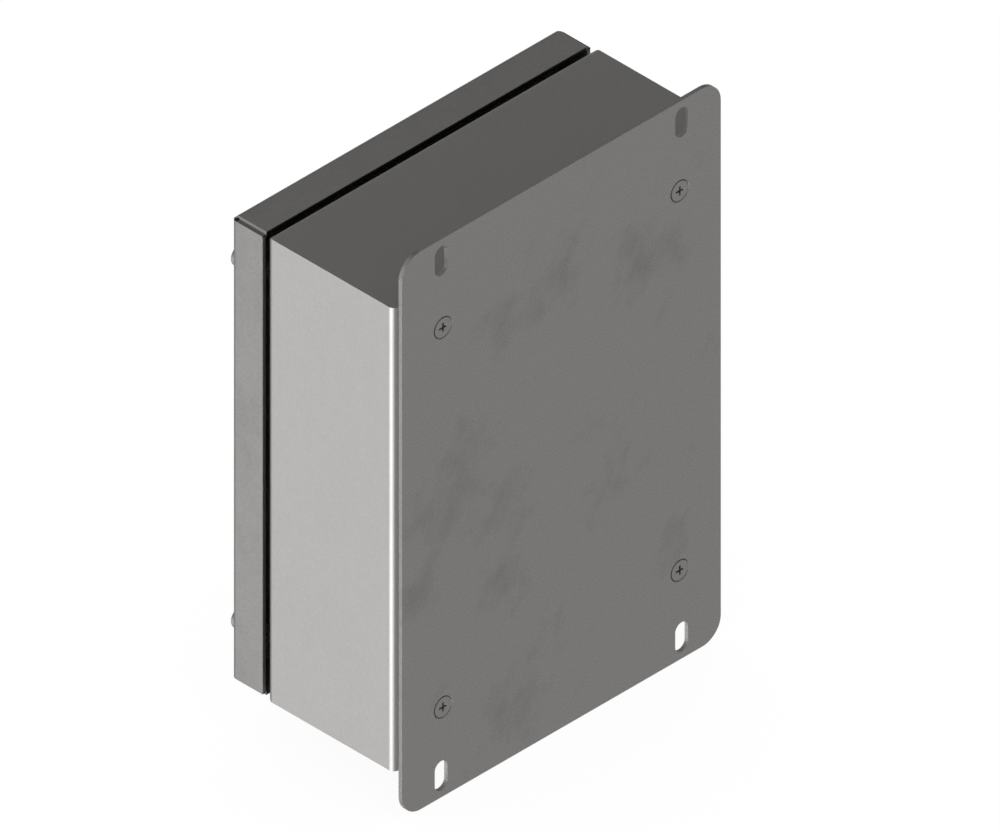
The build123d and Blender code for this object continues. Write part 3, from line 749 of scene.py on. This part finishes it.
lensFinish = {
    "colour": (0.93, 0.93, 0.90),
    "roughness": 0.12,
    "transmission": 0.85,
    "ior": 1.49,
    "grainScale": 900.0,
    "grain": 0.04,
    "ringPitch": 0.0012,
    "ringStrength": 0.35,
    "ringDepth": 0.00012,
}


def clearLens(name, nodeName):
    finish = lensFinish
    material, tree, shader = newMaterial(name)
    rings = placeGroup(
        tree,
        turnedRings,
        Point=objectPoint(tree),
        Centre=tuple(nodeCentre(nodeName)),
        Pitch=finish["ringPitch"],
    )
    grain = placeGroup(tree, surfaceGrain, Scale=finish["grainScale"], Amount=finish["grain"])
    tree.links.new(tinted(tree, finish["colour"], grain["Tint"]), shader.inputs["Base Color"])
    normal = bumpFrom(tree, rings["Wave"], finish["ringStrength"], finish["ringDepth"])
    tree.links.new(normal, shader.inputs["Normal"])
    shader.inputs["Roughness"].default_value = finish["roughness"]
    shader.inputs["Transmission Weight"].default_value = finish["transmission"]
    shader.inputs["IOR"].default_value = finish["ior"]
    return material


materials = {
    "sheet_steel": rolledSteel("bodySteel", bodySteel),
    "cover_steel": rolledSteel("coverSteel", coverSteel, "front_cover"),
    "plate_steel": rolledSteel("plateSteel", plateSteel, rimOf="mounting_plate"),
    "zinc_steel": plainMetal("zincSteel"),
    "brass_metal": plainMetal("brassMetal"),
    "contact_metal": plainMetal("contactMetal"),
    "spring_steel": plainMetal("springSteel"),
    "clear_lens": clearLens("clearLens", "light_lens"),
    "seal_rubber": mouldedPlastic("sealRubber")[0],
    "gland_plastic": mouldedPlastic("glandPlastic")[0],
    "black_plastic": mouldedPlastic("blackPlastic")[0],
    "block_plastic": mouldedPlastic("blockPlastic")[0],
    "holder_plastic": mouldedPlastic("holderPlastic")[0],
    "lamp_plastic": mouldedPlastic("lampPlastic")[0],
    "green_plastic": mouldedPlastic("greenPlastic")[0],
    "red_plastic": mouldedPlastic("redPlastic")[0],
    "estop_plastic": mouldedPlastic("estopPlastic")[0],
}
ownMaterials = {
    "plate_screws": turnedScrew("plateScrewSteel", "plate_screws"),
    "cover_screws": turnedScrew("coverScrewSteel", "cover_screws"),
    "selector_knob": markedKnob("selectorPlastic", "selector_knob"),
}
for operator in ("start", "stop", "estop", "selector", "light"):
    ownMaterials[operator + "_bezel"] = turnedChrome(operator + "Chrome", operator + "_bezel")


def dressNodes():
    for part in frame["record"]["subparts"]:
        name = part["node"]
        slots = nodes[name].data.materials
        slots.clear()
        slots.append(ownMaterials.get(name) or materials[part["material_slot"]])


dressNodes()
print("materials assigned:", len(materials) + len(ownMaterials))


# Return springs: each coil is seated at the back

returnSprings = {
    "wireRadius": 0.00045,
    "turns": 4.5,
    "closedTurns": 0.7,
    "closedPitch": 0.00096,
    "stepsPerTurn": 40,
    "sides": 12,
    "travel": {"start": 0.0045, "stop": 0.0045, "estop": 0.006},
}


def coilRise(turn, height):
    # the end turns lie close, the middle ones share the rest of the height
    ends = returnSprings["closedTurns"]
    close = returnSprings["closedPitch"]
    loose = (height - 2 * ends * close) / (returnSprings["turns"] - 2 * ends)
    first = min(turn, ends)
    last = max(turn - returnSprings["turns"] + ends, 0.0)
    return (first + last) * close + (turn - first - last) * loose


def coilMesh(name, low, high):
    wire = returnSprings["wireRadius"]
    sides = returnSprings["sides"]
    middle = (low + high) / 2
    radius = (high.x - low.x) / 2 - wire
    height = high.y - low.y - 2 * wire
    steps = round(returnSprings["turns"] * returnSprings["stepsPerTurn"])

    def onWire(step):
        turn = returnSprings["turns"] * step / steps
        angle = 2 * math.pi * turn
        return Vector(
            (
                middle.x + radius * math.cos(angle),
                low.y + wire + coilRise(turn, height),
                middle.z + radius * math.sin(angle),
            )
        )

    vertices, faces = [], []
    for step in range(steps + 1):
        centre = onWire(step)
        along = (onWire(min(step + 1, steps)) - onWire(max(step - 1, 0))).normalized()
        out = Vector((centre.x - middle.x, 0.0, centre.z - middle.z)).normalized()
        out = (out - along * out.dot(along)).normalized()
        across = along.cross(out)
        for side in range(sides):
            turn = 2 * math.pi * side / sides
            vertices.append(centre + wire * (math.cos(turn) * out + math.sin(turn) * across))
    for step in range(steps):
        for side in range(sides):
            following = (side + 1) % sides
            faces.append(
                (
                    step * sides + side,
                    step * sides + following,
                    (step + 1) * sides + following,
                    (step + 1) * sides + side,
                )
            )
    faces.append(tuple(reversed(range(sides))))
    faces.append(tuple(steps * sides + side for side in range(sides)))
    mesh = bpy.data.meshes.new(name)
    mesh.from_pydata(vertices, [], faces)
    mesh.polygons.foreach_set("use_smooth", [len(face) == 4 for face in faces])
    mesh.materials.append(materials["spring_steel"])
    return mesh


def addSprings():
    for operator, travel in returnSprings["travel"].items():
        node = operator + "_spring"
        low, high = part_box(node)
        spring = bpy.data.objects.new(operator + "Coil", coilMesh(operator + "Coil", low, high))
        bpy.context.scene.collection.objects.link(spring)
        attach(spring, "enclosure")
        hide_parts(node)
        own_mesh(spring)


addSprings()


# Stage: pale floor, and a studio that is white to the camera

studio = {
    "floorSize": 6.0,
    "floorDrop": 0.0006,
    "floorColour": (0.9, 0.9, 0.9),
    "floorRoughness": 0.8,
    "floorGlow": 1.04,
    "floorGlowShare": 0.9,
    "cameraWhite": 1.0,
    "diffuseLevel": 0.85,
    "reflectionBase": 0.035,
}

# Soft bright regions that the metal reflects: azimuth, elevation, level and tightness
# azimuth 0 is +X and 90 is +Y
brightRegions = {
    "rightLow": (0.0, -35.3, 2.85, 20.0),
    "rightFar": (35.0, -30.0, 1.204, 30.0),
    "rightDeep": (15.0, -45.0, 0.925, 30.0),
    "overhead": (45.0, 80.0, 0.559, 8.0),
    "rightFrontLow": (-30.0, -45.0, 0.534, 8.0),
    "rightFront": (-20.0, -15.0, 0.864, 8.0),
    "front": (-90.0, 0.0, 0.75, 8.0),
    "leftFront": (225.0, -20.0, 0.42, 8.0),
    "leftFrontLow": (240.0, -45.0, 0.169, 8.0),
    "left": (200.0, 15.0, 0.108, 8.0),
    "rear": (90.0, 5.0, 0.2, 8.0),
    "rearLow": (100.0, -45.0, 0.417, 8.0),
    "rearLeft": (140.0, 15.0, 0.12, 8.0),
    "rearLeftLow": (150.0, -45.0, 0.392, 8.0),
}


def towards(azimuth, elevation):
    turn = math.radians(azimuth)
    rise = math.radians(elevation)
    reach = math.cos(rise)
    return Vector((reach * math.cos(turn), reach * math.sin(turn), math.sin(rise)))


def backgroundNode(tree, strength):
    node = tree.nodes.new("ShaderNodeBackground")
    node.inputs["Color"].default_value = (1.0, 1.0, 1.0, 1.0)
    if isinstance(strength, (int, float)):
        node.inputs["Strength"].default_value = strength
    else:
        tree.links.new(strength, node.inputs["Strength"])
    return node.outputs[0]


def mixedShader(tree, share, first, second):
    node = tree.nodes.new("ShaderNodeMixShader")
    for socket, value in zip(node.inputs, (share, first, second)):
        tree.links.new(value, socket)
    return node.outputs[0]


def buildWorld():
    world = bpy.data.worlds.new("studioWorld")
    bpy.context.scene.world = world
    world.use_nodes = True
    tree = world.node_tree
    tree.nodes.clear()
    direction = tree.nodes.new("ShaderNodeTexCoord").outputs["Generated"]
    level = None
    for azimuth, elevation, height, tightness in brightRegions.values():
        aim = towards(azimuth, elevation)
        facing = mathNode(tree, "MAXIMUM", vectorNode(tree, "DOT_PRODUCT", direction, aim), 0.0)
        lobe = mathNode(tree, "MULTIPLY", mathNode(tree, "POWER", facing, tightness), height)
        level = lobe if level is None else mathNode(tree, "ADD", level, lobe)
    reflected = backgroundNode(tree, mathNode(tree, "ADD", level, studio["reflectionBase"]))
    diffuse = backgroundNode(tree, studio["diffuseLevel"])
    white = backgroundNode(tree, studio["cameraWhite"])
    path = tree.nodes.new("ShaderNodeLightPath")
    light = mixedShader(tree, path.outputs["Is Glossy Ray"], diffuse, reflected)
    direct = mathNode(
        tree, "MAXIMUM", path.outputs["Is Camera Ray"], path.outputs["Is Transmission Ray"]
    )
    seen = mixedShader(tree, direct, light, white)
    out = tree.nodes.new("ShaderNodeOutputWorld")
    tree.links.new(seen, out.inputs["Surface"])


def buildFloor():
    half = studio["floorSize"] / 2
    level = cadBox[0].z - studio["floorDrop"]
    mesh = bpy.data.meshes.new("studioFloor")
    corners = [(x * half, y * half, level) for x, y in ((-1, -1), (1, -1), (1, 1), (-1, 1))]
    mesh.from_pydata(corners, [], [(0, 1, 2, 3)])
    floor = bpy.data.objects.new("studioFloor", mesh)
    bpy.context.scene.collection.objects.link(floor)
    material, tree, shader = newMaterial("paleFloor")
    shader.inputs["Base Color"].default_value = (*studio["floorColour"], 1.0)
    shader.inputs["Roughness"].default_value = studio["floorRoughness"]
    glow = tree.nodes.new("ShaderNodeEmission")
    glow.inputs["Strength"].default_value = studio["floorGlow"]
    path = tree.nodes.new("ShaderNodeLightPath")
    share = mathNode(
        tree, "MULTIPLY", path.outputs["Is Camera Ray"], studio["floorGlowShare"]
    )
    surface = mixedShader(tree, share, shader.outputs[0], glow.outputs[0])
    tree.links.new(surface, tree.nodes["Material Output"].inputs["Surface"])
    mesh.materials.append(material)
    floor.visible_glossy = False


buildWorld()
buildFloor()
print("studio built")
